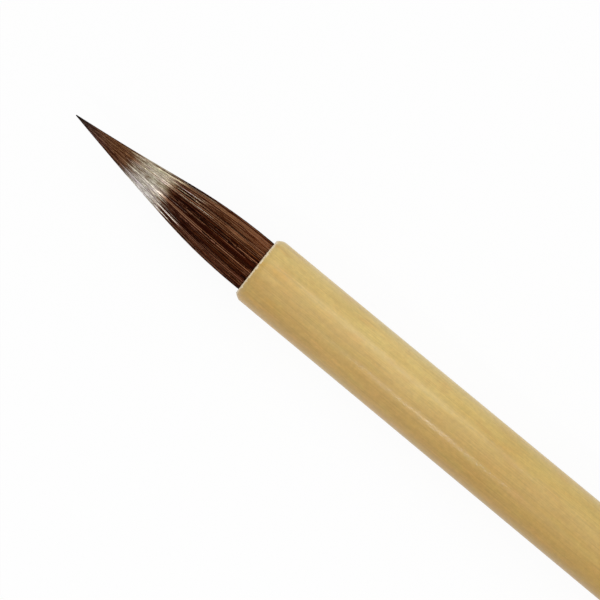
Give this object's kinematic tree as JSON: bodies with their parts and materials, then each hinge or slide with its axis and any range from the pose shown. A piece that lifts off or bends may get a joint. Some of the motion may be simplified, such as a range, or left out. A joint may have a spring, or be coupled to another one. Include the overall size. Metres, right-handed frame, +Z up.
{
  "type": "calligraphy brush",
  "caption": "Pointed calligraphy brush: a banded, smoothly tapered hair tuft set in a plain bamboo handle whose tail is plugged and drilled for a hanging cord.",
  "frame": {"origin": "below the middle of the brush's length, on the plane that the handle's thick end touches as the brush lies level on its side", "axes": "+X along the brush's axis from the hair point to the tail, +Z up, away from the surface that the brush lies on"},
  "size_m": [0.2376, 0.0122, 0.0122],
  "materials": {
    "bamboo": "polished",
    "plug_wood": "polished",
    "banded_hair": "satin",
    "inner_hair": "satin",
    "core_hair": "satin",
    "thread": "matte",
    "resin": "glossy",
    "glue": "glossy"
  },
  "bodies": {
    "root": {"handle_culm": "bamboo", "tail_plug": "plug_wood", "cover_hairs": "banded_hair", "waist_hairs": "inner_hair", "core_hairs": "core_hair", "binding_thread": "thread", "root_seal": "resin", "socket_glue": "glue"}
  },
  "joints": []
}
